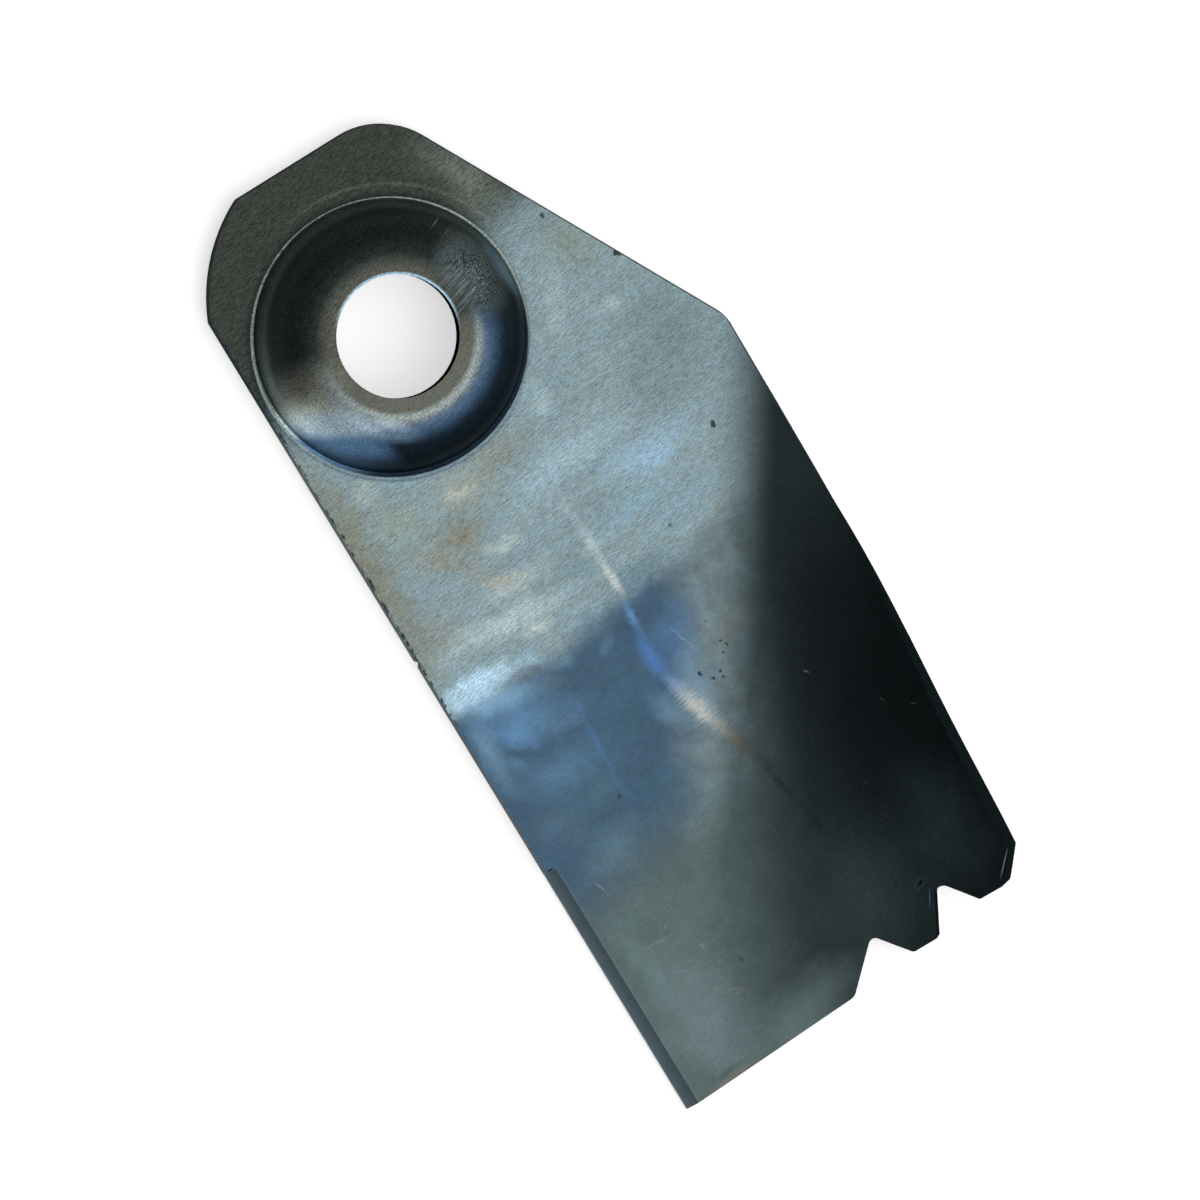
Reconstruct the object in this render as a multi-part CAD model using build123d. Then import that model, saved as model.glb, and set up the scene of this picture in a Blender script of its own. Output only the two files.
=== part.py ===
from build123d import *
import math
import os

# A rotary cutter blade pressed from one flat blank: a domed cup round the bolt hole at the heel,
# a flat web with a straight cutting edge, and a toothed wing that rolls up towards the tip.
# Sizes are in millimetres and degrees. The bolt hole centre, in the plane of the cup's top face,
# is the origin; +X runs along the blade to the tip, +Y from the cutting edge to the wing edge.

# Sheet and blank
sheet = 4.0                 # thickness of the sheet
hole_to_tip = 134.55        # hole centre to the square corner at the tip
hole_to_cut_edge = 24.25    # hole centre to the straight cutting edge
hole_to_heel = 32.2         # hole centre to the short straight heel end
hole_to_wing_edge = 49.2    # hole centre to the shoulder where the wing edge begins
shoulder_x = 26.4           # shoulder corner, along the blade
flank_angle = 27.9          # slope of the long slanted flank between heel and shoulder
heel_corner_radius = 13.0   # rounded corner between the heel end and the flank
shoulder_radius = 6.0       # slight rounding of the shoulder
heel_arc_run = 15.0         # shallow heel arc, length along the cutting edge
heel_arc_rise = 14.4        # shallow heel arc, height up the heel end
heel_arc_bulge = 1.9        # how far that arc stands out from its chord
edge_lean = 0.8             # wing edge leans in by this before the taper
taper_angle = 3.9           # wing edge leans in by this beyond the taper start
taper_x = 68.0              # where the taper starts
taper_blend = 8.0           # half length of the blend into the taper

# Bolt cup
hole_dia = 20.5             # bolt hole
cup_face_dia = 27.0         # flat bearing ring on top of the cup
cup_height = 9.5            # bearing ring above the web's top face
cup_shoulder = 8.5          # outer radius of the domed shoulder
cup_wall_angle = 75.0       # steepness of the cup's straight wall
cup_mouth_radius = 3.0      # rolled edge of the hollow on the underside
ring_width = 0.65           # narrow coined ring round the foot of the cup
ring_depth = 0.25

# Wing
wing_angle = 31.0           # tilt of the wing edge once fully rolled
wing_start_x = 44.0         # where the wing edge begins to lift
wing_full_x = 105.0         # where it reaches the full tilt
wing_width = 31.2           # width of sheet that is rolled at the tip
crease_start_x = 30.7       # where the line of the roll leaves the wing edge
crease_from_tip = 40.8      # where that line comes to run along the blade
crease_blend = 8.0          # half length of the blend there
web_margin = 6.0            # flat strip kept inside the line of the roll
wing_lead = 6.0             # flat length kept ahead of the lift
wing_sections = 8           # cross sections along the twist

# Toothed tip, distances from the tip corner and from the wing edge
end_lean = 2.3              # lean of the straight end next to the corner
inner_tooth_setback = 2.5
outer_tooth_setback = 4.5
inner_notch_depth = 8.45     # to the sharp meeting point of its two walls
inner_notch_inset = 27.7
inner_notch_near = 46.5     # slope of the wall towards the cutting edge
inner_notch_far = 37.8      # slope of the wall towards the wing edge
inner_notch_root = 1.1
outer_notch_depth = 10.85
outer_notch_inset = 13.75
outer_notch_near = 27.5
outer_notch_far = 39.5
outer_notch_root = 1.6
end_corner_radius = 2.0     # where the straight end meets the inner notch
inner_tooth_radius = 1.0
outer_tooth_radius = 0.6
tip_chamfer_inset = 3.25    # cut-off outer corner, measured down from the wing edge
tip_chamfer_angle = 39.3    # its slope
tip_chamfer_radius = 1.0

# Ground cutting edge and wear
bevel_length = 45.3         # ground length back from the tip corner
bevel_width = 1.85
bevel_depth = 2.6
nick_x = 48.7               # small knock in the cutting edge
nick_width = 1.3
nick_depth = 0.5

# Derived places
top_z = -cup_height
mid_z = top_z - sheet / 2
bottom_z = top_z - sheet
face_radius = cup_face_dia / 2
over = 15.0                 # how far cutting shapes run past the metal


def slope(degrees):
    return math.tan(math.radians(degrees))


def ramp(run, blend):
    # Zero below, rising one for one above, with a rounded turn in between.
    inside = min(max(run + blend, 0.0), 2 * blend)
    return inside ** 2 / (4 * blend) + max(run - blend, 0.0)


def edge_y(x):
    # Wing edge of the flat blank.
    lean = slope(edge_lean) * (x - shoulder_x)
    extra = slope(taper_angle) - slope(edge_lean)
    return hole_to_wing_edge - lean - extra * ramp(x - taper_x, taper_blend)


def crease_y(x):
    # Line on the blank where the roll starts: slanted from the wing edge, then along the blade.
    low_y = edge_y(hole_to_tip) - wing_width
    low_x = hole_to_tip - crease_from_tip
    slant = (edge_y(crease_start_x) - low_y) / (low_x - crease_start_x)
    return low_y + slant * ramp(low_x - x, crease_blend)


def wing_tilt(x):
    # Tilt of the wing edge, easing in and out along the blade.
    share = min(max((x - wing_start_x) / (wing_full_x - wing_start_x), 0.0), 1.0)
    return wing_angle * share ** 2 * (3 - 2 * share)


web_edge_y = crease_y(hole_to_tip) - web_margin
wing_from_x = wing_start_x - wing_lead
tip_edge_y = edge_y(hole_to_tip)


def round_corner(sketch, corner, radius):
    fillet(sketch.vertices().sort_by_distance(corner)[0], radius)


def web():
    # Flat part of the blank, with an open corner where the wing is added.
    heel_foot = (-hole_to_heel, -hole_to_cut_edge + heel_arc_rise)
    cut_start = (-hole_to_heel + heel_arc_run, -hole_to_cut_edge)
    flank_rise = slope(flank_angle) * (shoulder_x + hole_to_heel)
    heel_top = (-hole_to_heel, hole_to_wing_edge - flank_rise)
    end_x = hole_to_tip + over
    with BuildSketch() as outline:
        with BuildLine():
            heel = SagittaArc(heel_foot, cut_start, -heel_arc_bulge)
            Polyline(
                heel @ 1,
                (end_x, -hole_to_cut_edge),
                (end_x, web_edge_y),
                (wing_from_x, web_edge_y),
                (wing_from_x, edge_y(wing_from_x)),
                (shoulder_x, hole_to_wing_edge),
                heel_top,
                heel @ 0,
            )
        make_face()
        round_corner(outline, heel_top, heel_corner_radius)
        round_corner(outline, (shoulder_x, hole_to_wing_edge), shoulder_radius)
    return extrude(Pos(0, 0, bottom_z) * outline.sketch, sheet)


def sheet_point(x, share, side):
    # Point of the wing at x: share of the way across the roll, on one face of the sheet.
    start = crease_y(x)
    run = share * (edge_y(x) - start)
    turn = math.radians(wing_tilt(x)) * share
    if turn == 0:
        return Vector(x, start + run, mid_z + side * sheet / 2)
    radius = run / turn
    reach = radius - side * sheet / 2
    return Vector(x, start + reach * math.sin(turn), mid_z + radius - reach * math.cos(turn))


def roll_edge(x, side):
    # Even roll from the crease to the wing edge, straight where the sheet is still flat.
    points = [sheet_point(x, share, side) for share in (0, 0.5, 1)]
    if wing_tilt(x) == 0:
        return Edge.make_line(points[0], points[2])
    return Edge.make_three_point_arc(*points)


def wing_section(x):
    # Cross section of the wing: a flat strip, then the roll up to a square edge.
    low = roll_edge(x, -1)
    high = roll_edge(x, 1)
    low_foot = Vector(x, web_edge_y, bottom_z)
    high_foot = Vector(x, web_edge_y, top_z)
    return Wire([
        Edge.make_line(low_foot, low @ 0),
        low,
        Edge.make_line(low @ 1, high @ 1),
        high,
        Edge.make_line(high @ 0, high_foot),
        Edge.make_line(high_foot, low_foot),
    ])


def wing():
    # Sections follow the twist, then run on straight past the tip.
    stride = (wing_full_x - wing_from_x) / wing_sections
    end_x = hole_to_tip + over
    stations = [wing_from_x + stride * step for step in range(wing_sections + 1)]
    stations += [(wing_full_x + end_x) / 2, end_x]
    return Solid.make_loft([wing_section(x) for x in stations])


def sheet_plane(y):
    # Plane on the middle of the sheet at the tip, where the blank was y from the hole.
    past = y - crease_y(hole_to_tip)
    share = max(past, 0) / (tip_edge_y - crease_y(hole_to_tip))
    turn = math.radians(wing_tilt(hole_to_tip)) * share
    middle = sheet_point(hole_to_tip, share, 0)
    origin = (0, middle.Y + min(past, 0), middle.Z)
    return Plane(origin, (1, 0, 0), (0, -math.sin(turn), math.cos(turn)))


def punch(y, points, rounds):
    # Cut square through the sheet; points are (x, blank y), rounds gives each corner's radius.
    with BuildSketch() as shape:
        Polygon(*[(px, py - y) for px, py in points], align=None)
        for index, radius in rounds.items():
            round_corner(shape, (points[index][0], points[index][1] - y), radius)
    return extrude(sheet_plane(y) * shape.sketch, over, both=True)


def inner_notch():
    # The straight end, the notch beside it and the end of the inner tooth.
    far_x = hole_to_tip + 2 * over
    root_x = hole_to_tip - inner_notch_depth
    root_y = tip_edge_y - inner_notch_inset
    tooth_x = hole_to_tip - inner_tooth_setback
    low_y = -hole_to_cut_edge - over
    low_x = hole_to_tip + slope(end_lean) * over
    reach = hole_to_tip - slope(end_lean) * (root_y + hole_to_cut_edge) - root_x
    corner_x = root_x + reach / (1 - slope(end_lean) * slope(inner_notch_near))
    corner_y = root_y - (corner_x - root_x) * slope(inner_notch_near)
    tooth_y = root_y + (tooth_x - root_x) * slope(inner_notch_far)
    past_y = tip_edge_y - outer_notch_inset
    points = [
        (far_x, low_y),
        (low_x, low_y),
        (corner_x, corner_y),
        (root_x, root_y),
        (tooth_x, tooth_y),
        (tooth_x, past_y),
        (far_x, past_y),
    ]
    rounds = {2: end_corner_radius, 3: inner_notch_root, 4: inner_tooth_radius}
    return punch(root_y, points, rounds)


def outer_notch():
    # The notch between the two teeth and the end of the outer tooth.
    far_x = hole_to_tip + 2 * over
    root_x = hole_to_tip - outer_notch_depth
    root_y = tip_edge_y - outer_notch_inset
    tooth_x = hole_to_tip - outer_tooth_setback
    near_y = root_y - (far_x - root_x) * slope(outer_notch_near)
    tooth_y = root_y + (tooth_x - root_x) * slope(outer_notch_far)
    past_y = tip_edge_y + over
    points = [
        (far_x, near_y),
        (root_x, root_y),
        (tooth_x, tooth_y),
        (tooth_x, past_y),
        (far_x, past_y),
    ]
    return punch(root_y, points, {1: outer_notch_root, 2: outer_tooth_radius})


def tip_chamfer():
    # The cut-off corner between the outer tooth and the wing edge.
    far_x = hole_to_tip + 2 * over
    tooth_x = hole_to_tip - outer_tooth_setback
    corner_y = tip_edge_y - tip_chamfer_inset
    low_y = corner_y - 2 * tip_chamfer_radius
    high_y = corner_y + over * slope(tip_chamfer_angle)
    points = [
        (far_x, low_y),
        (tooth_x, low_y),
        (tooth_x, corner_y),
        (tooth_x - over, high_y),
        (far_x, high_y),
    ]
    return punch(corner_y, points, {2: tip_chamfer_radius})


def cup_profile(skin, foot_z):
    # Half section of the dome, skin millimetres inside its outer face, closed along the axis.
    centre_z = -cup_shoulder
    radius = cup_shoulder - skin
    with BuildSketch(Plane.XZ) as half:
        with BuildLine():
            crown = Line((0, -skin), (face_radius, -skin))
            bend = CenterArc((face_radius, centre_z), radius, 90, -cup_wall_angle)
            foot_x = (bend @ 1).X + ((bend @ 1).Y - foot_z) / slope(cup_wall_angle)
            Polyline(bend @ 1, (foot_x, foot_z), (0, foot_z), crown @ 0)
        make_face()
    return half.sketch


def is_rim(edge, limit):
    # A full circle round the bolt hole's axis, smaller than the foot of the cup.
    return edge.geom_type == GeomType.CIRCLE and edge.is_closed and edge.radius < limit


def add_cup(body):
    # Coin the ring, stand the dome in it, then hollow it and punch the bolt hole.
    wall_top = -cup_shoulder * (1 - math.cos(math.radians(cup_wall_angle)))
    foot = face_radius + cup_shoulder * math.sin(math.radians(cup_wall_angle))
    foot += (wall_top - top_z) / slope(cup_wall_angle)
    body -= Pos(0, 0, top_z) * Cylinder(foot + ring_width, 2 * ring_depth)
    body += revolve(cup_profile(0, mid_z), Axis.Z)
    body -= revolve(cup_profile(sheet, bottom_z - sheet), Axis.Z)
    rims = body.edges().filter_by(lambda edge: is_rim(edge, foot))
    body = fillet(rims.sort_by(Axis.Z)[0], cup_mouth_radius)
    return body - Cylinder(hole_dia / 2, 4 * sheet)


def bevel():
    # Wedge ground off the top of the cutting edge, ending in an abrupt step.
    edge = -hole_to_cut_edge
    rise = bevel_depth / bevel_width
    past = bevel_width
    with BuildSketch(Plane.YZ.offset(hole_to_tip - bevel_length)) as wedge:
        Polygon(
            (edge - past, top_z - bevel_depth - past * rise),
            (edge + bevel_width + past, top_z + past * rise),
            (edge - past, top_z + past * rise),
            align=None,
        )
    return extrude(wedge.sketch, bevel_length + over)


def nick():
    # Small three-cornered knock through the cutting edge.
    edge = -hole_to_cut_edge
    with BuildSketch(Plane.XY.offset(bottom_z)) as knock:
        Polygon(
            (nick_x - nick_width, edge - nick_depth),
            (nick_x + nick_width, edge - nick_depth),
            (nick_x, edge + nick_depth),
            align=None,
        )
    return extrude(knock.sketch, sheet)


blade = web() + wing()
for cut in (inner_notch(), outer_notch(), tip_chamfer(), bevel(), nick()):
    blade -= cut
blade = add_cup(blade)

os.makedirs("parts", exist_ok=True)
export_step(blade, "parts/blade.step")
print("blade", round(blade.volume), "mm3", blade.bounding_box())
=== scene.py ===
import math
import bmesh
import bpy
from mathutils import Matrix, Vector

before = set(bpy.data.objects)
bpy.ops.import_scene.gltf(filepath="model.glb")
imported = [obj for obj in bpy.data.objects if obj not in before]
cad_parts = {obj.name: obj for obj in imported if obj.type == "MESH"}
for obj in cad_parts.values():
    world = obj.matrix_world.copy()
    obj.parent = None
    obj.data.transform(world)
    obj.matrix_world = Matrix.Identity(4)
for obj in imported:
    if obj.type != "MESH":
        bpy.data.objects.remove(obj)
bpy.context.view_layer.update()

mm = 0.001
print("frame loaded:", ", ".join(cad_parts))


def linearColour(hexCode):
    # sRGB hex to the linear colour that Blender's sockets take
    parts = [int(hexCode[i:i + 2], 16) / 255 for i in (0, 2, 4)]
    return tuple(c / 12.92 if c <= 0.04045 else ((c + 0.055) / 1.055) ** 2.4 for c in parts) + (1,)


def addNode(tree, kind, inputs, give=0, **settings):
    # Adds a node, sets or links each input, and gives back one of its outputs
    node = tree.nodes.new("ShaderNode" + kind)
    for name, value in settings.items():
        setattr(node, name, value)
    for name, value in inputs.items():
        if isinstance(value, bpy.types.NodeSocket):
            tree.links.new(value, node.inputs[name])
        else:
            node.inputs[name].default_value = value
    return node.outputs[give] if node.outputs else node


def emptyTree(owner):
    owner.use_nodes = True
    owner.node_tree.nodes.clear()
    return owner.node_tree


# Camera: down on the blade, leaning a little to the heel and the cutting edge, with the blade
# running from upper left to lower right
cameraSet = {
    "aim": (55.4, 6.9, -9.5),        # mm, middle of the picture
    "lean": (-0.09, -0.11, 1.0),     # from the blade to the camera
    "right": (0.5255, 0.8508, 0.0),  # blade direction that lies level in the picture
    "width": 0.19725,                # metres across the picture
    "distance": 1.0,
    "clip": 0.01,
}


def makeCamera():
    back = Vector(cameraSet["lean"]).normalized()
    up = back.cross(Vector(cameraSet["right"])).normalized()
    right = up.cross(back)
    camera = bpy.data.objects.new("camera", bpy.data.cameras.new("camera"))
    camera.data.type = "ORTHO"
    camera.data.ortho_scale = cameraSet["width"]
    camera.data.clip_start = cameraSet["clip"]
    turn = Matrix((right, up, back)).transposed().to_4x4()
    place = Vector(cameraSet["aim"]) * mm + back * cameraSet["distance"]
    camera.matrix_world = Matrix.Translation(place) @ turn
    bpy.context.scene.collection.objects.link(camera)
    bpy.context.scene.camera = camera


# Two soft boxes and a grey room. The big one hangs over the web, so the flat steel mirrors it
# and the raised wing and the cup's heel side look past it into the dim room. Places and sizes
# are in metres.
lampSet = {
    "overhead": {"at": (0.60, 0.62, 1.0), "aim": (0.60, 0.62, 0.0), "size": (1.82, 1.60), "glow": 1.08},
    "tipSide": {"at": (0.55, 0.02, 1.10), "aim": (0.0, 0.0, 0.0), "size": (1.20, 0.22), "glow": 2.2},
}
room = {"grey": 0.2}


def makeLights():
    for name, lamp in lampSet.items():
        light = bpy.data.lights.new(name, "AREA")
        light.shape = "RECTANGLE"
        light.size, light.size_y = lamp["size"]
        light.energy = lamp["glow"] * math.pi * light.size * light.size_y
        holder = bpy.data.objects.new(name, light)
        holder.location = lamp["at"]
        way = Vector(lamp["aim"]) - Vector(lamp["at"])
        holder.rotation_euler = way.to_track_quat("-Z", "X").to_euler()
        bpy.context.scene.collection.objects.link(holder)
    world = bpy.data.worlds.new("greyRoom")
    bpy.context.scene.world = world
    tree = emptyTree(world)
    seen = addNode(tree, "LightPath", {}, "Is Camera Ray")
    grey = addNode(tree, "Background", {"Color": (1, 1, 1, 1), "Strength": room["grey"]})
    white = addNode(tree, "Background", {"Color": (1, 1, 1, 1), "Strength": 1.0})
    mixed = addNode(tree, "MixShader", {0: seen, 1: grey, 2: white})
    addNode(tree, "OutputWorld", {"Surface": mixed})


# Matt white table top. It keeps the blade's soft shadow; the eye and mirror-like steel get some
# extra white, so that the paper looks as clean as in the picture.
tableTop = {
    "half": 2.5,               # metres
    "level": -13.52,           # mm, just under the blade
    "paint": "f4f4f2",
    "whiteToEye": 0.58,
    "whiteToMirror": 0.86,
}


def makeTable():
    shape = bmesh.new()
    bmesh.ops.create_grid(shape, x_segments=1, y_segments=1, size=tableTop["half"])
    bmesh.ops.translate(shape, verts=shape.verts, vec=(0, 0, tableTop["level"] * mm))
    mesh = bpy.data.meshes.new("tableTop")
    shape.to_mesh(mesh)
    shape.free()
    top = bpy.data.objects.new("tableTop", mesh)
    bpy.context.scene.collection.objects.link(top)
    paint = bpy.data.materials.new("mattWhitePaint")
    tree = emptyTree(paint)
    matt = addNode(tree, "BsdfDiffuse", {"Color": linearColour(tableTop["paint"])})
    camera = addNode(tree, "LightPath", {}, "Is Camera Ray")
    mirror = addNode(tree, "LightPath", {}, "Is Glossy Ray")
    extra = addNode(tree, "Math", {0: camera, 1: tableTop["whiteToEye"]}, operation="MULTIPLY")
    extra = addNode(tree, "Math", {0: mirror, 1: tableTop["whiteToMirror"], 2: extra},
                    operation="MULTIPLY_ADD")
    glow = addNode(tree, "Emission", {"Color": (1, 1, 1, 1), "Strength": extra})
    both = addNode(tree, "AddShader", {0: matt, 1: glow})
    addNode(tree, "OutputMaterial", {"Surface": both})
    mesh.materials.append(paint)


# Hot pressed, hardened and tempered spring steel: a dark silky mill skin with short hair-like
# grain across the blade, straw and blue temper colours on the web, black scale where the sheet
# was bent, deepened by painted shade on the raised wing, and bare streaks where that scale
# cracked along the fold.
springSteel = {
    "skin": "7e9196",
    "blue": "3f5568",
    "olive": ("5e6c6e", "6e7f84"),     # beyond the blue, towards the wing
    "tip": "515f5f",
    # dark heel: partly a darker skin, partly painted shade
    "heel": "393d38",
    # near-black raised wing: partly black scale, partly painted shade where it tilts away from the light
    "wing": "1f2729",
    "underside": "4a5250",
    "sheared": ("7f8a8b", "9aa5a4"),
    "shearedHeel": "465150",
    "shearedWing": "182123",
    "bevel": ("3a474c", "475860"),     # inner and outer half
    "bevelLine": "7690a0",
    "bevelLineShare": 0.12,
    "rim": "26333b",                   # dark line where the sheet was punched
    "warmFleck": "a89d88",
    "coolFleck": "b6cbdc",
    "fleckShare": (0.18, 0.12, 0.09),  # on the bare web, the coloured skin and the heel
    "metallic": 0.92,
    "roughness": 0.36,
    "cupRoughness": 0.55,              # of its wall
    "shearedRoughness": 0.9,
    "cloudRoughness": 0.1,             # added in the paler clouds
    "grainTurn": 97.0,                 # degrees from the blade's length, the way the sheet was rolled
    # patterns: size in mm (width and length along the grain), detail, and which part of the noise
    # is opened up to run from 0 to 1
    "hairs": ((0.22, 1.3), 3.0),       # the real ones are near 0.05 mm wide, too fine to show
    "bands": ((2.4, 24.0), 3.0),       # paler and darker along the grain
    "comb": ((0.34, 5.0), 2.0),        # marks of the bending tool
    "fleck": ((1.3, 1.9), 4.0, 0.36, 0.64),
    "shearedGrain": ((0.5, 3.0), 3.0),
    "cloud": (4.2, 5.0),               # mottled tone
    "oliveCloud": (3.5, 3.0),
    "grit": (0.22, 2.0),               # matt speckle
    "nicks": (1.1, 3.0, 0.42, 0.6),    # along the cutting edge
    # how borders stray: size and reach in mm, and detail
    "wander": [(16.0, 9.0, 3.0), (2.4, 2.6, 4.0)],
    "ragged": (0.9, 1.1, 2.0),
    "combReach": 1.5,                  # mm
    "bandShare": 0.5,                  # of the bands beside the clouds
    "fineDepth": (0.54, 0.18),         # on the web and on the smooth blue and black skin
    "heelDepth": 0.3,                  # added on the heel
    "broadDepth": (0.22, 0.08),
    "relief": 0.03,                    # mm
    "reliefShare": 0.3,
    "sideSlope": (0.8, 0.7),           # upright part of the normal, from a face to a sheared side
    "underSlope": (-0.2, -0.5),        # and from there to the underside
    "sideFrom": (23.4, 23.6),          # mm from the hole's middle, so the cup has no sheared side
}

# Borders across the skin: a point in mm, the way across in degrees, and where before and past
# the point the change starts and ends
borders = {
    "blue": ((58.3, 0), 5, -3.0, 3.0),
    "olive": ((71, 13), 62, -4.0, 5.0),
    "tip": ((96, -4), 4, -8.0, 8.0),
    "heel": ((-2.5, 4), 192, -7.0, 6.0),
    "wingFold": ((42.0, 45.7), 57.3, -8.5, 3.5),
    "wingEnd": ((98, 11), 68, -17.5, 11.0),
    "bareWeb": ((59, 0), 178, -2.0, 3.0),
    "nicked": ((62, 0), 180, -6.0, 6.0),
    "cutEdge": ((0, -23.9), 270, -0.15, 0.15),
    "flank": ((26.4, 49.2), 117.9, -0.32, -0.1),
    "wingEdge": ((26.4, 49.2), 89.2, -0.32, -0.1),
    "bevelStart": ((89.25, 0), 0, -0.05, 0.05),
    "bevelFace": ((0, -22.35), 270, -0.05, 0.05),
    "bevelDepth": ((0, -22.35), 270, 0.2, 1.8),
    "lineFrom": ((0, -22.5), 90, -0.1, 0.1),
    "lineTo": ((0, -22.15), 270, -0.1, 0.1),
    "cupTip": ((0, 0), -5, -3.0, 11.0),
    "cupFoot": ((0, 0), 15, 9.0, 15.0),
    "ringTip": ((0, 0), 0, 6.0, 18.0),
    "noHalo": ((0, 0), 75, 13.0, 20.0),
    "arcHeel": ((0, 0), 140, 12.0, 22.0),
    "holeHeel": ((0, 0), 150, 1.0, 7.0),
    "litTop": ((0, -11), 270, -2.5, 2.0),
    "litHeel": ((1.6, -18), -8, -2.4, 2.6),
}

# Temper colours, laid in this order: middle in mm, half length and half width in mm, turn in
# degrees, colour, how much covers, and how soft the edge is (1 fades from the middle)
cupSide = [
    ((25, 40), (15, 13), 0, "6c7f81", 0.85, 1.0),     # duller towards the wing edge
    ((24, 26), (11, 4.5), 100, "7d8f8e", 0.7, 1.0),
    ((30, -24), (34, 7), 0, "767464", 0.85, 1.0),      # olive along the cutting edge
    ((24, -21), (12, 4), 0, "7c7f72", 0.5, 1.0),
    ((3, 33), (9, 5.5), 28, "79847d", 0.8, 1.0),
    ((9, 26), (9, 3.5), -12, "93a3a1", 0.6, 1.0),
    ((15, 33), (5, 3), 60, "96a9a9", 0.6, 1.0),
    ((26, 3), (8, 12), 0, "838c84", 0.6, 1.0),
    ((21.5, 15), (4, 6), 90, "98afb6", 0.7, 1.0),
    ((25.5, 7), (6, 2.6), 100, "7c807a", 0.45, 1.0),   # brown smears beside the cup
    ((28, 5), (6, 2.0), 100, "74756c", 0.45, 1.0),
    ((19, -16), (5, 3.5), -40, "98a49f", 0.6, 1.0),
    ((28, -4), (9, 5), 60, "8f9084", 0.55, 1.0),
    ((28, -4.5), (4.5, 1.6), 78, "b9bbae", 0.5, 1.0),
    ((33.5, -8), (9, 7), 80, "788077", 0.85, 1.0),
    ((34, -7), (5, 3.4), 70, "81796a", 0.5, 1.0),
    ((38, -2), (5, 1.8), 80, "abb7b1", 0.5, 1.0),
    ((37, -12), (12, 4), 60, "857f6d", 0.5, 1.0),
    ((46, -19), (9, 5), 80, "7f7765", 0.4, 1.0),
    ((33.5, 15), (20, 5), 99, "93abb5", 0.8, 1.0),     # pale blue bands across the web
    ((38.5, 27), (12, 5), 96, "8fadc2", 0.75, 1.0),
    ((28, 20), (12, 2.6), 101, "87999c", 0.5, 1.0),
    ((43, 11), (12, 3), 99, "74898f", 0.6, 1.0),
    ((45.5, 19), (13, 3), 100, "7b98a6", 0.7, 1.0),
    ((49, 27), (10, 3), 95, "7a94a3", 0.7, 1.0),
    ((50, 4), (9, 4.6), 92, "6e848b", 0.8, 1.0),
    ((29, 33), (8, 6), 0, "6f807f", 0.65, 1.0),
    ((27, -15), (8, 6), 0, "838d82", 0.7, 1.0),
    ((54.5, 15), (12, 3.2), 95, "627983", 0.75, 1.0),
    ((50, -8), (18, 3.8), 84, "a4b4b7", 0.9, 1.0),     # whitish band before the blue
    ((56, -17), (9, 3.6), 82, "aeccdf", 0.9, 1.0),
    ((45, -4), (8, 3.4), 84, "9fa9a5", 0.6, 1.0),
    ((53.5, -5), (4.6, 1.6), 78, "b9c0bd", 0.6, 1.0),
    ((43, -5), (4.5, 1.6), 65, "a9a496", 0.5, 1.0),
    ((57.5, 3), (4, 3), 90, "5f7f8d", 0.55, 1.0),
    ((56, 31), (9, 3.0), -50, "7f8580", 0.5, 1.0),     # warm tone before the dark wing
]

heelSide = [
    ((-16, 24), (14, 6), 28, "626a62", 0.85, 1.0),     # paler along the flank
]

blueSide = [
    ((72, 0), (10, 10), 0, "405a6c", 0.8, 1.0),
    ((66, -14), (13, 7), 80, "587b9a", 0.8, 1.0),
    ((77, -13), (12, 6), 95, "52718b", 0.7, 1.0),
    ((63.5, -7), (3.6, 3.2), 90, "4a5d66", 0.55, 1.0),
    ((69, -21), (11, 3.2), 0, "6c8da6", 0.6, 1.0),
    ((68.5, -15.5), (6, 3.4), 70, "6390ba", 0.45, 1.0),
    ((84, -18), (8, 5), 80, "4c6375", 0.7, 1.0),
    ((67, 15), (9, 7), 80, "4d6d8f", 0.85, 0.9),
    ((82, -9), (8, 4), 90, "46616f", 0.7, 1.0),
    ((92, -13), (9, 7), 90, "56707d", 0.8, 1.0),
    ((73, -18), (2.6, 1.8), 40, "5d82a4", 0.4, 1.0),
    ((80, -3), (3.0, 2.0), 100, "4c6a82", 0.4, 1.0),
    ((70, -8), (2.4, 3.4), 10, "557089", 0.5, 1.0),
    ((88, 0), (6, 5), 100, "405a6c", 0.6, 1.0),
]

# Over the border of the blue: pale steel by the cutting edge, greyer blue towards the wing
overBorder = [
    ((58.5, -19.0), (8, 3.6), 84, "a3c3d6", 0.85, 1.0),
    ((61.5, -15.0), (10, 3.2), 82, "7a9fba", 0.7, 1.0),
    ((60.0, -4.0), (4, 2.4), 84, "5d7d91", 0.5, 1.0),
    ((57.0, 13.0), (5, 1.6), 100, "617c8c", 0.5, 1.0),
    ((56.5, -9.0), (3.4, 2.0), 60, "8aa9bb", 0.5, 1.0),
    ((62.0, 3.5), (3.0, 1.6), -30, "557388", 0.5, 1.0),
    ((74.5, 13.5), (8, 5), 10, "6b899f", 0.6, 1.0),
    ((77.0, 8.0), (7, 3.5), 20, "64829c", 0.5, 1.0),
    ((69.5, 23.0), (8, 3.0), -52, "777c79", 0.45, 1.0),  # warm tone before the dark wing
    ((76.5, -5.4), (15, 1.1), 0, "4f7bb0", 0.24, 1.0),   # faint blue line along the blade
]

tipSide = [
    ((93, 5), (10, 5), 90, "506368", 0.9, 1.0),
    ((108, -5), (14, 9), 90, "536160", 0.8, 1.0),
    ((104, -17), (7, 5), 90, "5a6c6e", 0.6, 1.0),
    ((112, -18), (9, 4), 20, "5d6f70", 0.7, 1.0),
    ((124, -13), (19, 10), 5, "67777b", 0.75, 1.0),    # pale smudge by the end
]
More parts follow.
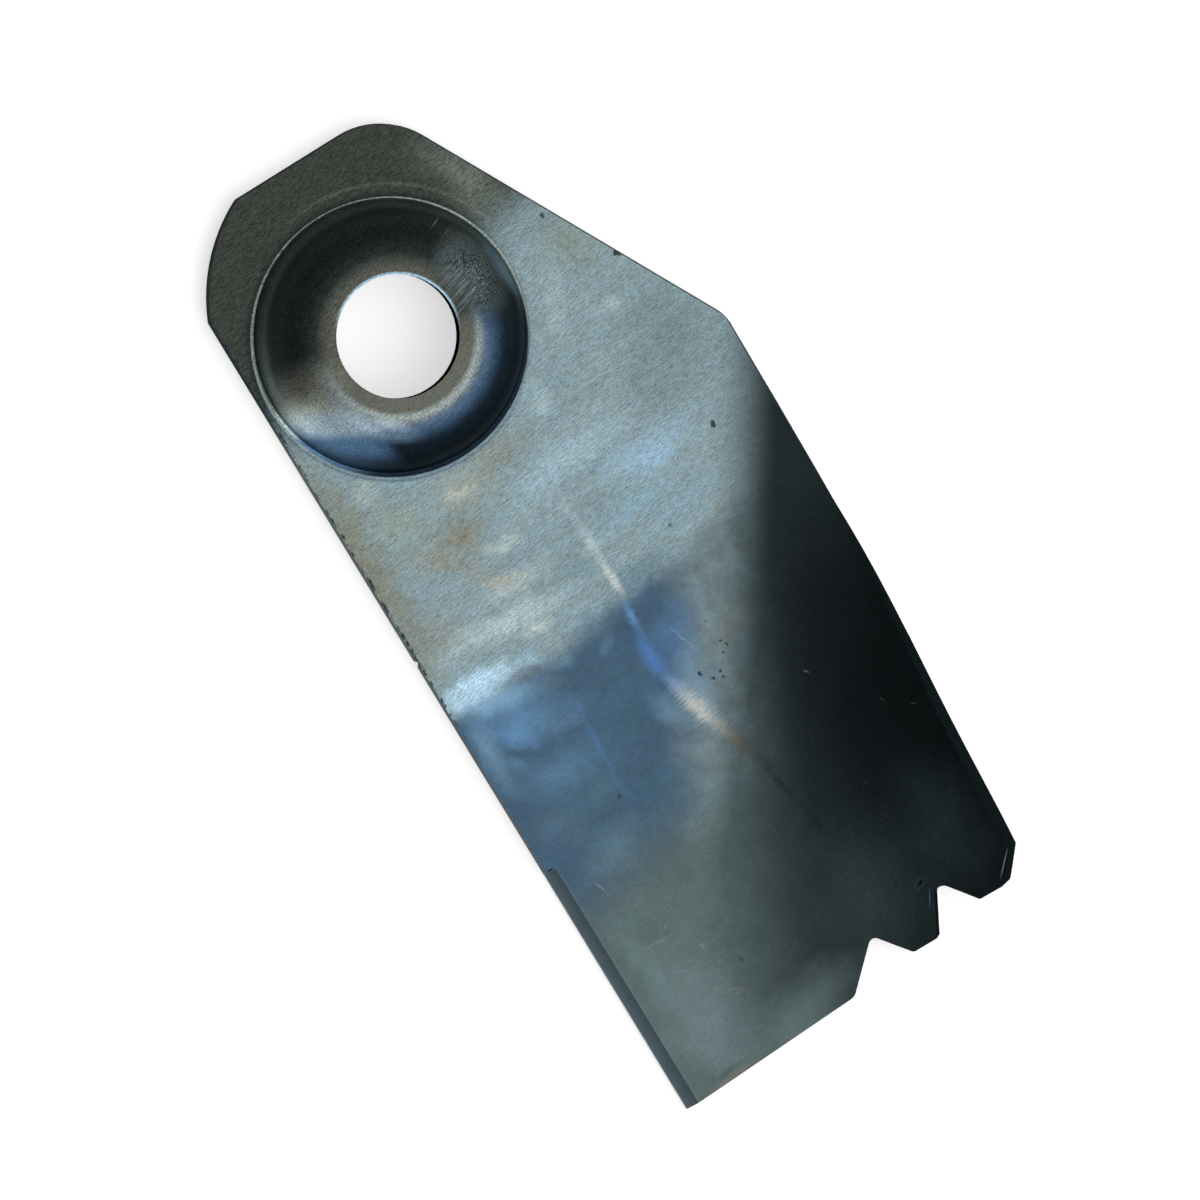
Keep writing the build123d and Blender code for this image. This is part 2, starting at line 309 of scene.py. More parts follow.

# Painted light and shade on the dark wing: paler at the end and by the teeth, darkest beside the fold, where
# the rising wing faces away from the light
wingLightAndShade = [
    ((122, 26), (18, 26), 0, "2a3436", 0.85, 0.8),
    ((116, 36), (18, 8), 0, "36444a", 0.8, 1.0),
    ((132, -1), (18, 8.5), 95, "59686a", 0.75, 1.0),
    ((72, 37), (24, 8), -33, "171c1e", 0.6, 1.0),
]

# Bare metal along the fold, from the cup's side to the tip
foldStreak = [
    ((40.5, 10.3), (6, 1.4), 0, "97a4a6", 0.5, 1.0),
    ((47.0, 10.5), (5.5, 1.4), 2, "a6b1b2", 0.65, 0.9),
    ((53.5, 10.5), (4.6, 1.3), 0, "b3bbb9", 0.85, 0.9),
    ((60.5, 10.0), (4.2, 1.2), -4, "5f86b0", 0.7, 1.0),
    ((68.0, 9.2), (6.4, 2.3), 2, "4b72aa", 0.78, 1.0),
    ((74.0, 10.2), (4.0, 1.8), 14, "7590ac", 0.7, 1.0),
]

# The last of the streak, combed across by the bending tool
combedStreak = [
    ((79.5, 11.9), (7.8, 2.8), 16, "8f9b9d", 0.9, 1.0),
    ((79.0, 11.4), (5.6, 1.5), 16, "aaaaa1", 0.75, 0.9),
    ((84.5, 13.3), (3.4, 1.1), 20, "9a9384", 0.6, 1.0),
    ((87.5, 14.6), (4.6, 1.6), 22, "7a6f5e", 0.75, 1.0),
    ((92.0, 16.4), (4.6, 1.2), 24, "504840", 0.65, 1.0),
]

fineLines = [
    ((67.6, 15.2), (4.2, 0.24), 22, "84a2ba", 0.35, 1.0),
    ((95.7, -17.7), (2.4, 0.25), 16, "8aa0a8", 0.35, 1.0),
    ((108.4, -15.2), (4.6, 0.4), 91, "7c7e6b", 0.3, 1.0),
    ((24.0, 26.0), (7.0, 0.3), 88, "a9bcc4", 0.4, 1.0),
    ((121.5, -8.0), (3.0, 0.35), 75, "7f7b69", 0.4, 1.0),
    ((133.7, -15.0), (8.0, 0.6), 93, "7c6d52", 0.6, 1.0),   # brown line and dark smear by the end
    ((132.6, -15.5), (6.0, 0.8), 93, "414946", 0.5, 1.0),
    ((113.0, -8.5), (0.7, 0.4), 0, "857b62", 0.4, 0.7),     # rust specks
    ((116.5, -7.5), (0.5, 0.4), 0, "857b62", 0.4, 0.7),
    ((120.0, -10.0), (0.8, 0.4), 60, "807761", 0.4, 0.7),
    ((122.5, -7.0), (1.1, 0.35), 80, "877b64", 0.4, 0.7),
    ((107.0, -12.0), (0.5, 0.4), 0, "877b61", 0.4, 0.7),
]

darkMarks = [
    # painted shade of the crease running on over the wing
    ((97.0, 16.6), (6.0, 0.8), 12, "15191a", 0.5, 1.0),
    ((105.0, 18.2), (5.0, 0.7), 12, "0d1011", 0.3, 1.0),
    # pits
    ((8.2, 39.1), (0.9, 0.6), 40, "1c262b", 0.9, 0.6),
    ((40.6, 38.0), (0.8, 0.6), 0, "1d292f", 0.9, 0.6),
    ((-3.4, 31.9), (0.6, 0.5), 0, "1d292f", 0.8, 0.6),
    ((74.5, 14.7), (0.7, 0.35), 20, "1a2326", 0.85, 0.8),
    ((76.1, 16.2), (0.6, 0.4), 60, "1a2326", 0.85, 0.8),
    ((75.7, 17.8), (0.5, 0.35), 0, "1a2326", 0.85, 0.8),
    ((76.9, 17.8), (0.4, 0.35), 0, "1a2326", 0.8, 0.8),
    ((71.5, 20.4), (0.5, 0.3), 30, "1a2326", 0.8, 0.8),
    ((72.6, 21.0), (0.5, 0.3), 0, "1a2326", 0.8, 0.8),
    ((73.4, 19.9), (0.4, 0.3), 0, "1a2326", 0.8, 0.8),
    ((67.4, 19.9), (0.4, 0.3), 0, "1a2326", 0.7, 0.8),
    ((84.5, -7.2), (0.5, 0.5), 0, "1f3040", 0.8, 0.8),
    ((51.0, 23.3), (0.6, 0.4), 0, "2a373d", 0.8, 0.8),
    ((118.0, -4.0), (0.9, 0.6), 0, "2a3232", 0.6, 0.9),
    # painted shadow in the nick at the start of the bevel
    ((89.0, -23.3), (0.8, 0.3), 95, "0c1114", 0.9, 0.7),
    # knock by the outer tooth, with a bright lip
    ((122.9, 27.5), (1.9, 0.9), 107, "46545a", 0.6, 1.0),
    ((122.9, 27.5), (1.3, 0.45), 107, "050707", 0.9, 0.8),
]

# Curls, specks and bare corners on the dark wing
wingMarks = [
    ((83.3, 29.8), (0.8, 0.2), 40, "6b7776", 0.7, 0.9),
    ((93.5, 37.7), (0.8, 0.22), 20, "56625f", 0.7, 0.9),
    ((96.6, 41.5), (0.6, 0.2), 70, "6d7572", 0.8, 0.9),
    ((112.2, 39.5), (0.6, 0.2), 10, "4d5856", 0.7, 0.9),
    ((110.6, 28.7), (0.5, 0.3), 0, "3c4848", 0.7, 0.9),
    ((103.9, 28.5), (0.6, 0.2), 60, "3c4848", 0.7, 0.9),
    ((113.1, 34.7), (0.6, 0.2), 30, "46514f", 0.7, 0.9),
    ((112.5, 44.4), (0.3, 0.2), 0, "8f9a9a", 0.8, 0.9),     # bare specks along the edge
    ((115.0, 44.0), (0.35, 0.18), 0, "6f8f9f", 0.8, 0.9),
    ((116.4, 43.9), (0.3, 0.2), 0, "a89f8f", 0.8, 0.9),
    ((118.6, 43.7), (0.3, 0.15), 0, "7f8a8a", 0.7, 0.9),
    ((125.6, 27.7), (2.2, 0.16), -30, "4a7cae", 0.7, 0.8),  # blue line in the notch
    ((126.9, 40.5), (3.2, 0.14), -43, "c4cbd6", 0.8, 0.6),  # bare line at the cut-off corner
]

# Cup, radii in mm from the hole's middle. Much of its wall is painted light and shade: dark on the heel side,
# with painted highlights and blue reflections on the tip side.
cupSkin = {
    "bearing": "5e6159",             # flat ring round the hole
    "bearingHeel": "52534b",
    "wall": "2b3332",                # painted shade on the heel side of the wall
    "tipWall": "1f2d39",             # painted dark navy reflection on the tip side
    "wallRadii": (10.8, 14.2),       # from the flat ring to the wall
    "tipDelay": 2.2,                 # mm, how much later the wall comes on the tip side
    # painted blue reflection on the tip side of the shoulder
    "shoulder": "58799a",
    "shoulderRadii": (14.0, 18.6),
    "shine": "a5b2b2",               # painted highlight on the shoulder, speckled
    "shineRadii": (12.3, 13.4, 14.9),
    "speckle": (0.32, 2.0, 0.25, 0.66),
    "lowRadii": (19.0, 20.4),        # painted shade: the wall gets darker downwards
    "lowTone": 0.7,
    "footRadii": (20.7, 22.0),       # and its foot is painted pale on the heel side and dark on the tip side, as light and shade
    "footTone": (3.6, 0.7),
    "litStray": (5.0, 2.0, 2.0),     # size and reach in mm, and detail
    "litFootRadii": (19.0, 21.5),
    "litFootShare": 0.6,
    "litFrom": (11.9, -13.8),        # the wall's painted highlight: its straight border, then its coats from there
    "litTurn": 150,
    "litCoats": [                    # colour, where it comes and goes in mm past the border, and radii
        ("c6d2c4", (0.0, 2.0), (40.0, 41.0), (13.5, 18.5)),
        ("668fb5", (-6.0, -0.5), (1.0, 3.5), (13.2, 15.0)),
        ("b9d2df", (-0.2, 2.0), (3.0, 6.5), (13.4, 15.8)),
    ],
    "ring": "828d88",                # coined ring round the foot, pressed a little off the hole's middle
    "ringTip": "6f8189",
    "ringAt": (0.49, -0.12),
    "ringFrom": 22.86,
    "ringTo": 23.3,
    "ringSoft": 0.08,
    "halo": "262e2c",                # painted shade just outside the ring, where the web dips towards it: dark on the heel side, a bluish painted reflection on the tip side
    "haloTip": "536a78",
    "haloShare": (0.8, 0.1),
    "haloReach": (24.6, 23.9),       # on the heel side and on the tip side
    "haloEnd": 23.4,
    # painted shade: the hole's wall near black
    "holeWall": "0c1214",
    "holeRadii": (10.35, 10.5),
    "holeRim": "9dbccf",             # painted highlight on the rounded edge of the hole on the heel side, bluish
    "holeRimRadii": (10.45, 10.75),
    "arc": "7b8680",                 # faint print of the press tool outside the ring
    "arcRadius": 25.0,
    "arcHalf": 0.5,                  # mm, half its width
    "arcShare": 0.16,
    "roughFrom": (13.0, 16.0),       # the rougher wall comes and goes
    "roughTo": (22.2, 22.6),
    "scratchTurn": 105,              # degrees, grinding scratches on the wing side
    "darkScratch": ((0.24, 15.0), 1.0, 0.36, 0.58),
    "lightScratch": ((0.24, 18.0), 0.0, 0.63, 0.76),
    "scratchDark": "192124",
    "scratchLight": "626d6c",
}

scratchPatch = [((-1.5, 15.0), (8.8, 7.2), 105, "ffffff", 0.85, 0.5)]

# Painted light, shade and reflections on the cup's wall, and light scratches
cupLightShadeAndScratches = [
    ((13.8, -8.7), (6.0, 1.9), 58, "84a2bc", 0.6, 1.0),     # painted blue reflection below the highlight on the shoulder
    ((0.4, -17.2), (7.0, 8.5), 0, "767970", 1.0, 1.0),      # painted light: pale olive patch on the wall by the cutting edge
    ((11.5, -9.0), (5.2, 1.5), 52, "b4c5cd", 0.75, 1.0),
    ((-2.5, 15.8), (9.5, 6.2), 5, "8a9a9c", 0.85, 0.95),    # painted light on the wall by the wing edge
    ((-0.5, 21.2), (7.5, 2.0), 2, "86a6b8", 0.7, 0.9),
    ((-12.5, 15.4), (2.0, 0.14), 104, "7d8a84", 0.7, 0.8),  # light scratches
    ((-10.2, 15.9), (1.4, 0.12), 104, "6d7a74", 0.6, 0.8),
]


throughAll = 1000     # metres, so that a mark reaches through the sheet however it is bent
noiseRoughness = 0.6


def wanderBy(tree, place, size, reach, detail):
    # Position pushed about by noise, so that what is laid there gets a ragged edge
    push = addNode(tree, "TexNoise", {"Vector": place, "Scale": 1 / (size * mm), "Detail": detail}, "Color")
    centred = addNode(tree, "VectorMath", {0: push, 1: (0.5, 0.5, 0.5)}, operation="SUBTRACT")
    return addNode(tree, "VectorMath", {0: centred, 1: (reach * mm, reach * mm, 0), 2: place},
                   operation="MULTIPLY_ADD")


def layCoats(tree, colour, coats):
    # Lays coats of colour in turn, each as far as its share says
    for share, over in coats:
        over = linearColour(over) if isinstance(over, str) else over
        colour = addNode(tree, "Mix", {0: share, 6: colour, 7: over}, 2, data_type="RGBA")
    return colour


def layMarks(tree, colour, where, marks):
    # Soft-edged ovals of colour, each over what is there already. Each is laid before the next
    # one's nodes are made, because Cycles has room for only so many results that wait for use.
    for (x, y), (long, wide), turn, hexCode, cover, soft in marks:
        oval = addNode(tree, "Mapping", {"Vector": where, "Location": (x * mm, y * mm, 0),
                                         "Rotation": (0, 0, math.radians(turn)),
                                         "Scale": (long * mm, wide * mm, throughAll)},
                       vector_type="TEXTURE")
        fall = addNode(tree, "TexGradient", {"Vector": oval}, "Fac", gradient_type="SPHERICAL")
        share = addNode(tree, "MapRange", {0: fall, 2: soft, 4: cover}, interpolation_type="SMOOTHSTEP")
        colour = layCoats(tree, colour, [(share, hexCode)])
    return colour


def across(tree, where, point, towards, start, end):
    # 0 to 1 across a straight border through point, rising in the direction given in degrees
    way = (math.cos(math.radians(towards)), math.sin(math.radians(towards)))
    middle = point[0] * way[0] + point[1] * way[1]
    along = addNode(tree, "VectorMath", {0: where, 1: (way[0] / mm, way[1] / mm, 0)}, "Value",
                    operation="DOT_PRODUCT")
    return addNode(tree, "MapRange", {0: along, 1: middle + start, 2: middle + end},
                   interpolation_type="SMOOTHSTEP")


def mottle(tree, where, size, detail, low=0.32, high=0.68):
    # Even noise of a size in mm, opened up to run from 0 to 1
    grey = addNode(tree, "TexNoise", {"Vector": where, "Scale": 1 / (size * mm), "Detail": detail,
                                      "Roughness": noiseRoughness}, "Fac")
    return addNode(tree, "MapRange", {0: grey, 1: low, 2: high})


def grain(tree, place, turn, size, detail, low=0.32, high=0.68):
    # Noise drawn out along a direction: size is its width and length in mm
    wide, long = size
    drawn = addNode(tree, "Mapping", {"Vector": place, "Rotation": (0, 0, math.radians(turn)),
                                      "Scale": (long / wide, 1, 1)}, vector_type="TEXTURE")
    return mottle(tree, drawn, wide, detail, low, high)


def makeWebColour(tree, place, wander, ragged, heel):
    # The parts of the web: cup side, blue, tip side and heel, with the fold's streaks on top
    blue = layMarks(tree, linearColour(springSteel["blue"]), wander, blueSide)
    dull, pale = springSteel["olive"]
    olive = layCoats(tree, linearColour(dull), [(mottle(tree, wander, *springSteel["oliveCloud"]), pale)])
    blue = layCoats(tree, blue, [(across(tree, wander, *borders["olive"]), olive)])
    colour = layMarks(tree, linearColour(springSteel["skin"]), wander, cupSide)
    colour = layCoats(tree, colour, [(across(tree, wander, *borders["blue"]), blue)])
    colour = layMarks(tree, colour, wander, overBorder)
    tip = layMarks(tree, linearColour(springSteel["tip"]), wander, tipSide)
    dark = layMarks(tree, linearColour(springSteel["heel"]), wander, heelSide)
    colour = layCoats(tree, colour, [(across(tree, wander, *borders["tip"]), tip), (heel, dark)])
    colour = layMarks(tree, colour, ragged, foldStreak + fineLines)
    comb = grain(tree, place, springSteel["grainTurn"], *springSteel["comb"])
    reach = springSteel["combReach"] * mm
    push = addNode(tree, "Math", {0: comb, 1: reach, 2: -reach / 2}, operation="MULTIPLY_ADD")
    drag = addNode(tree, "CombineXYZ", {"Y": push})   # pushed along the grain
    combed = addNode(tree, "VectorMath", {0: ragged, 1: drag}, operation="ADD")
    return layMarks(tree, colour, combed, combedStreak)


def layFlecks(tree, colour, place, wander, heel):
    # Warm and cool flecks, strongest on the bare steel beside the cup
    fleck = grain(tree, place, springSteel["grainTurn"], *springSteel["fleck"])
    flecks = layCoats(tree, linearColour(springSteel["warmFleck"]), [(fleck, springSteel["coolFleck"])])
    onBare, onSkin, onHeel = springSteel["fleckShare"]
    bare = across(tree, wander, *borders["bareWeb"])
    share = addNode(tree, "MapRange", {0: bare, 3: onSkin, 4: onBare})
    share = addNode(tree, "MapRange", {0: heel, 3: share, 4: onHeel})
    return addNode(tree, "Mix", {0: share, 6: colour, 7: flecks}, 2, data_type="RGBA",
                   blend_type="OVERLAY")


def makeWallColour(tree, place, radius, tipWards):
    # Flat ring and wall: painted shade darkens the wall early on the heel side and late on the tip side, with
    # a painted blue reflection on the tip side of the shoulder
    late = addNode(tree, "Math", {0: tipWards, 1: -cupSkin["tipDelay"], 2: radius},
                   operation="MULTIPLY_ADD")
    near, far = cupSkin["wallRadii"]
    past = addNode(tree, "MapRange", {0: late, 1: near, 2: far}, interpolation_type="SMOOTHSTEP")
    near, far = cupSkin["shoulderRadii"]
    bend = addNode(tree, "MapRange", {0: radius, 1: far, 2: near, 4: tipWards},
                   interpolation_type="SMOOTHSTEP")
    wall = layCoats(tree, linearColour(cupSkin["wall"]),
                    [(tipWards, cupSkin["tipWall"]), (bend, cupSkin["shoulder"])])
    bearing = layCoats(tree, linearColour(cupSkin["bearingHeel"]), [(tipWards, cupSkin["bearing"])])
    colour = layCoats(tree, bearing, [(past, wall)])

    # painted highlight on the shoulder, a thin speckled arc on the tip side
    speckle = mottle(tree, place, *cupSkin["speckle"])
    highlightSpeckle = addNode(tree, "Math", {0: speckle, 1: tipWards}, operation="MULTIPLY")
    near, full, far = cupSkin["shineRadii"]
    rise = addNode(tree, "MapRange", {0: radius, 1: near, 2: full, 4: highlightSpeckle},
                   interpolation_type="SMOOTHSTEP")
    shine = addNode(tree, "MapRange", {0: radius, 1: far, 2: full, 4: rise},
                    interpolation_type="SMOOTHSTEP")
    colour = layCoats(tree, colour, [(shine, cupSkin["shine"])])

    # painted shade: the wall darkens downwards and its steep foot darker still, as if mirroring a dark ring,
    # painted pale again on the heel side
    onHeel, onTip = cupSkin["footTone"]
    foot = addNode(tree, "MapRange", {0: across(tree, place, *borders["cupFoot"]), 3: onHeel, 4: onTip})
    near, far = cupSkin["lowRadii"]
    low = addNode(tree, "MapRange", {0: radius, 1: near, 2: far, 3: 1.0, 4: cupSkin["lowTone"]},
                  interpolation_type="SMOOTHSTEP")
    near, far = cupSkin["footRadii"]
    tone = addNode(tree, "MapRange", {0: radius, 1: near, 2: far, 3: low, 4: foot},
                   interpolation_type="SMOOTHSTEP")
    return addNode(tree, "VectorMath", {0: colour, 1: tone}, operation="MULTIPLY")


def layLitWall(tree, colour, place, radius):
    # Painted highlight where the wall would mirror the light: cut off straight on the tip side with a
    # painted blue fringe, fading out towards the heel
    soft = wanderBy(tree, place, *cupSkin["litStray"])
    lower = across(tree, soft, *borders["litTop"])
    lit = addNode(tree, "Math", {0: lower, 1: across(tree, soft, *borders["litHeel"])}, operation="MULTIPLY")
    near, far = cupSkin["litFootRadii"]
    foot = addNode(tree, "MapRange", {0: radius, 1: near, 2: far, 3: 1.0, 4: cupSkin["litFootShare"]})
    lit = addNode(tree, "Math", {0: lit, 1: foot}, operation="MULTIPLY")
    border = (cupSkin["litFrom"], cupSkin["litTurn"])
    for coat, come, go, (near, far) in cupSkin["litCoats"]:
        share = addNode(tree, "Math", {0: across(tree, soft, *border, *come),
                                       1: across(tree, soft, *border, *go)}, operation="SUBTRACT")
        share = addNode(tree, "Math", {0: share, 1: lit}, operation="MULTIPLY")
        share = addNode(tree, "MapRange", {0: radius, 1: near, 2: far, 4: share})
        colour = layCoats(tree, colour, [(share, coat)])
    return colour


def layScratches(tree, colour, place):
    # Grinding scratches over the shoulder on the wing side
    black = (0, 0, 0, 1)
    patch = layMarks(tree, black, place, scratchPatch)
    strokes = grain(tree, place, cupSkin["scratchTurn"], *cupSkin["darkScratch"])
    bright = grain(tree, place, cupSkin["scratchTurn"], *cupSkin["lightScratch"])
    dark = addNode(tree, "Math", {0: patch, 1: strokes}, operation="MULTIPLY")
    light = addNode(tree, "Math", {0: patch, 1: bright}, operation="MULTIPLY")
    return layCoats(tree, colour, [(dark, cupSkin["scratchDark"]), (light, cupSkin["scratchLight"])])


def makeCupColour(tree, place, radius, ringRadius, tipWards):
    colour = makeWallColour(tree, place, radius, tipWards)
    colour = layMarks(tree, colour, place, cupLightShadeAndScratches)
    colour = layLitWall(tree, colour, place, radius)
    colour = layScratches(tree, colour, place)
    line = layCoats(tree, linearColour(cupSkin["ring"]),
                    [(across(tree, place, *borders["ringTip"]), cupSkin["ringTip"])])
    ring = addNode(tree, "MapRange", {0: ringRadius, 1: cupSkin["ringFrom"] - cupSkin["ringSoft"],
                                      2: cupSkin["ringFrom"] + cupSkin["ringSoft"]})
    # painted highlight on the heel-side edge of the hole
    near, far = cupSkin["holeRimRadii"]
    rim = addNode(tree, "MapRange", {0: radius, 1: far, 2: near,
                                     4: across(tree, place, *borders["holeHeel"])})
    return layCoats(tree, colour, [(ring, line), (rim, cupSkin["holeRim"])])


def layCup(tree, colour, place, wander, radius):
    # The cup, with painted shade in a line just outside its ring, and the print of the press tool on the heel
    # side
    x, y = cupSkin["ringAt"]
    shifted = addNode(tree, "VectorMath", {0: place, 1: (1 / mm, 1 / mm, 0), 2: (-x, -y, 0)},
                      operation="MULTIPLY_ADD")
    ringRadius = addNode(tree, "VectorMath", {0: shifted}, "Value", operation="LENGTH")
    tipWards = across(tree, place, *borders["cupTip"])
    full, faint = cupSkin["haloShare"]
    cover = addNode(tree, "MapRange", {0: across(tree, place, *borders["noHalo"]), 3: full, 4: faint})
    onHeel, onTip = cupSkin["haloReach"]
    reach = addNode(tree, "MapRange", {0: tipWards, 3: onHeel, 4: onTip})
    halo = addNode(tree, "MapRange", {0: ringRadius, 1: reach, 2: cupSkin["haloEnd"], 4: cover},
                   interpolation_type="SMOOTHSTEP")
    shade = layCoats(tree, linearColour(cupSkin["halo"]), [(tipWards, cupSkin["haloTip"])])
    off = addNode(tree, "Math", {0: radius, 1: cupSkin["arcRadius"]}, operation="SUBTRACT")
    off = addNode(tree, "Math", {0: off}, operation="ABSOLUTE")
    arc = addNode(tree, "MapRange", {0: off, 1: cupSkin["arcHalf"], 2: 0.0,
                                     4: across(tree, wander, *borders["arcHeel"])})
    arc = addNode(tree, "Math", {0: arc, 1: cupSkin["arcShare"]}, operation="MULTIPLY")
    inCup = addNode(tree, "MapRange", {0: ringRadius, 1: cupSkin["ringTo"] + cupSkin["ringSoft"],
                                       2: cupSkin["ringTo"] - cupSkin["ringSoft"]})
    cup = makeCupColour(tree, place, radius, ringRadius, tipWards)
    return layCoats(tree, colour, [(halo, shade), (arc, cupSkin["arc"]), (inCup, cup)])


def layRims(tree, colour, place, ragged):
    # Dark rim along the flank and the wing edge, and in nicks along the cutting edge
    nicks = addNode(tree, "Math", {0: across(tree, ragged, *borders["cutEdge"]),
                                   1: mottle(tree, place, *springSteel["nicks"])}, operation="MULTIPLY")
    nicks = addNode(tree, "Math", {0: nicks, 1: across(tree, place, *borders["nicked"])},
                    operation="MULTIPLY")
    colour = layCoats(tree, colour, [(nicks, springSteel["rim"])])
    for name in ("flank", "wingEdge"):
        colour = layCoats(tree, colour, [(across(tree, place, *borders[name]), springSteel["rim"])])
    return colour


def bevelShare(tree, place):
    # 1 on the ground bevel at the tip end of the cutting edge
    return addNode(tree, "Math", {0: across(tree, place, *borders["bevelStart"]),
                                  1: across(tree, place, *borders["bevelFace"])}, operation="MULTIPLY")


def layBevel(tree, colour, place):
    # Ground bevel with a pale line along its inner side
    deep, pale = springSteel["bevel"]
    face = layCoats(tree, linearColour(deep), [(across(tree, place, *borders["bevelDepth"]), pale)])
    colour = layCoats(tree, colour, [(bevelShare(tree, place), face)])
    line = addNode(tree, "Math", {0: across(tree, place, *borders["lineFrom"]),
                                  1: across(tree, place, *borders["lineTo"])}, operation="MULTIPLY")
    line = addNode(tree, "Math", {0: line, 1: across(tree, place, *borders["bevelStart"])},
                   operation="MULTIPLY")
    line = addNode(tree, "Math", {0: line, 1: springSteel["bevelLineShare"]}, operation="MULTIPLY")
    return layCoats(tree, colour, [(line, springSteel["bevelLine"])])


def makeSteelColour(tree, place, wander, radius, heel, wing):
    ragged = wanderBy(tree, place, *springSteel["ragged"])
    colour = makeWebColour(tree, place, wander, ragged, heel)
    colour = layFlecks(tree, colour, place, wander, heel)
    colour = layCoats(tree, colour, [(wing, springSteel["wing"])])   # near-black wing: partly black scale, partly painted shade of the raised wing
    colour = layMarks(tree, colour, wander, wingLightAndShade)
    colour = layMarks(tree, colour, ragged, darkMarks)
    colour = layMarks(tree, colour, place, wingMarks)
    colour = layCup(tree, colour, place, wander, radius)
    colour = layRims(tree, colour, place, ragged)
    return layBevel(tree, colour, place)


def laySides(tree, colour, place, radius, heel, wing):
    # Sheared sides, the hole's wall painted near black as shade, and the plain underside. Gives back where it
    # is matt, too.
    upright = addNode(tree, "SeparateXYZ", {0: addNode(tree, "NewGeometry", {}, "True Normal")}, "Z")
    lean = addNode(tree, "Math", {0: upright}, operation="ABSOLUTE")
    face, edge = springSteel["sideSlope"]
    steep = addNode(tree, "MapRange", {0: lean, 1: face, 2: edge})
    near, far = springSteel["sideFrom"]
    web = addNode(tree, "MapRange", {0: radius, 1: near, 2: far})
    side = addNode(tree, "Math", {0: steep, 1: web}, operation="MULTIPLY")
    side = addNode(tree, "Math", {0: side, 1: bevelShare(tree, place)}, operation="SUBTRACT",
                   use_clamp=True)
    near, far = cupSkin["holeRadii"]
    hole = addNode(tree, "MapRange", {0: radius, 1: far, 2: near})
    inHole = addNode(tree, "Math", {0: steep, 1: hole}, operation="MULTIPLY")
    dark, pale = springSteel["sheared"]
    sheared = layCoats(tree, linearColour(dark), [
        (grain(tree, place, springSteel["grainTurn"], *springSteel["shearedGrain"]), pale),
        (heel, springSteel["shearedHeel"]),
        (wing, springSteel["shearedWing"]),
    ])
    edge, below = springSteel["underSlope"]
    under = addNode(tree, "MapRange", {0: upright, 1: edge, 2: below})
    colour = layCoats(tree, colour, [(side, sheared), (inHole, cupSkin["holeWall"]),
                                     (under, springSteel["underside"])])
    return colour, addNode(tree, "Math", {0: side, 1: inHole}, operation="MAXIMUM")


def makeSkinTone(tree, place, wander, heel, wing):
    # Silky skin: bands, clouds, hairs and speckle in one tone, coarsest on the heel. Gives back
    # the hairs with the speckle, and the clouds, too.
    hairs = grain(tree, place, springSteel["grainTurn"], *springSteel["hairs"])
    grit = mottle(tree, place, *springSteel["grit"])
    cloud = mottle(tree, place, *springSteel["cloud"])
    bands = grain(tree, place, springSteel["grainTurn"], *springSteel["bands"])
    smooth = addNode(tree, "Math", {0: wing, 1: across(tree, wander, *borders["blue"])},
                     operation="MAXIMUM")
    rough, even = springSteel["fineDepth"]
    fineDepth = addNode(tree, "MapRange", {0: smooth, 3: rough, 4: even})
    fineDepth = addNode(tree, "Math", {0: heel, 1: springSteel["heelDepth"], 2: fineDepth},
                        operation="MULTIPLY_ADD")
    rough, even = springSteel["broadDepth"]
    broadDepth = addNode(tree, "MapRange", {0: smooth, 3: rough, 4: even})
    bandShare = springSteel["bandShare"]
    fine = addNode(tree, "Math", {0: hairs, 1: grit}, operation="ADD")   # around 1
    broad = addNode(tree, "Math", {0: bands, 1: bandShare, 2: cloud}, operation="MULTIPLY_ADD")
    fineTone = addNode(tree, "Math", {0: fine, 1: 1.0}, operation="SUBTRACT")
    fineTone = addNode(tree, "Math", {0: fineTone, 1: fineDepth, 2: 1.0}, operation="MULTIPLY_ADD")
    broadTone = addNode(tree, "Math", {0: broad, 1: (1 + bandShare) / 2}, operation="SUBTRACT")
    tone = addNode(tree, "Math", {0: broadTone, 1: broadDepth, 2: fineTone}, operation="MULTIPLY_ADD")
    return tone, fine, cloud


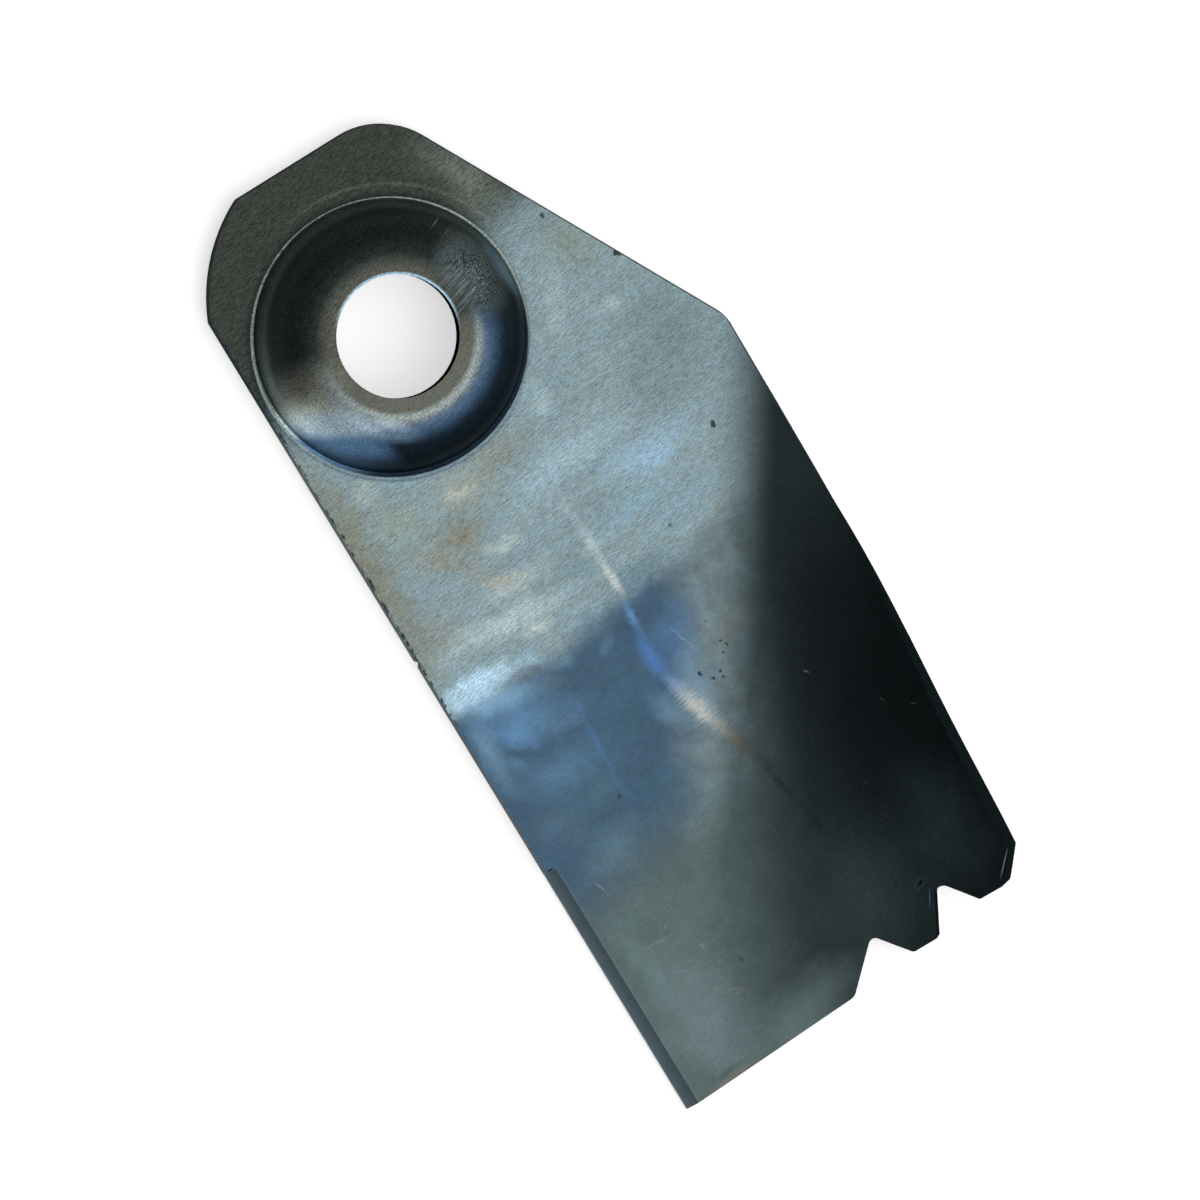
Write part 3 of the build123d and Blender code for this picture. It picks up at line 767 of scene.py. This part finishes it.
def makeSpringSteel():
    material = bpy.data.materials.new("hardenedTemperedSpringSteel")
    tree = emptyTree(material)
    place = addNode(tree, "TexCoord", {}, "Object")
    wander = place
    for stray in springSteel["wander"]:
        wander = wanderBy(tree, wander, *stray)
    flat = addNode(tree, "VectorMath", {0: place, 1: (1 / mm, 1 / mm, 0)}, operation="MULTIPLY")
    radius = addNode(tree, "VectorMath", {0: flat}, "Value", operation="LENGTH")   # mm from the hole's middle
    heel = across(tree, wander, *borders["heel"])
    wing = addNode(tree, "Math", {0: across(tree, place, *borders["wingFold"]),
                                  1: across(tree, place, *borders["wingEnd"])}, operation="MINIMUM")
    colour = makeSteelColour(tree, place, wander, radius, heel, wing)
    colour, matt = laySides(tree, colour, place, radius, heel, wing)
    tone, fine, cloud = makeSkinTone(tree, place, wander, heel, wing)
    colour = addNode(tree, "VectorMath", {0: colour, 1: tone}, operation="MULTIPLY")

    # rougher on the cup's wall, and matt scale on the sheared sides
    silky, wall = springSteel["roughness"], springSteel["cupRoughness"]
    near, far = cupSkin["roughFrom"]
    inner = addNode(tree, "MapRange", {0: radius, 1: near, 2: far, 3: silky, 4: wall})
    near, far = cupSkin["roughTo"]
    outer = addNode(tree, "MapRange", {0: radius, 1: near, 2: far, 3: inner, 4: silky})
    base = addNode(tree, "MapRange", {0: matt, 3: outer, 4: springSteel["shearedRoughness"]})
    roughness = addNode(tree, "Math", {0: cloud, 1: springSteel["cloudRoughness"], 2: base},
                        operation="MULTIPLY_ADD")
    metal = addNode(tree, "MapRange", {0: matt, 3: springSteel["metallic"], 4: 0.0})
    bump = addNode(tree, "Bump", {"Height": fine, "Strength": springSteel["reliefShare"],
                                  "Distance": springSteel["relief"] * mm})
    shader = addNode(tree, "BsdfPrincipled", {"Base Color": colour, "Roughness": roughness,
                                              "Normal": bump, "Metallic": metal,
                                              "Specular IOR Level": 0.0})
    addNode(tree, "OutputMaterial", {"Surface": shader})
    return material


bpy.context.scene.view_settings.view_transform = "Standard"
makeCamera()
makeLights()
makeTable()
print("camera, lamps and table ready")

steel = makeSpringSteel()
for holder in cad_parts["blade"].material_slots:
    holder.material = steel
print("steel laid on the blade")
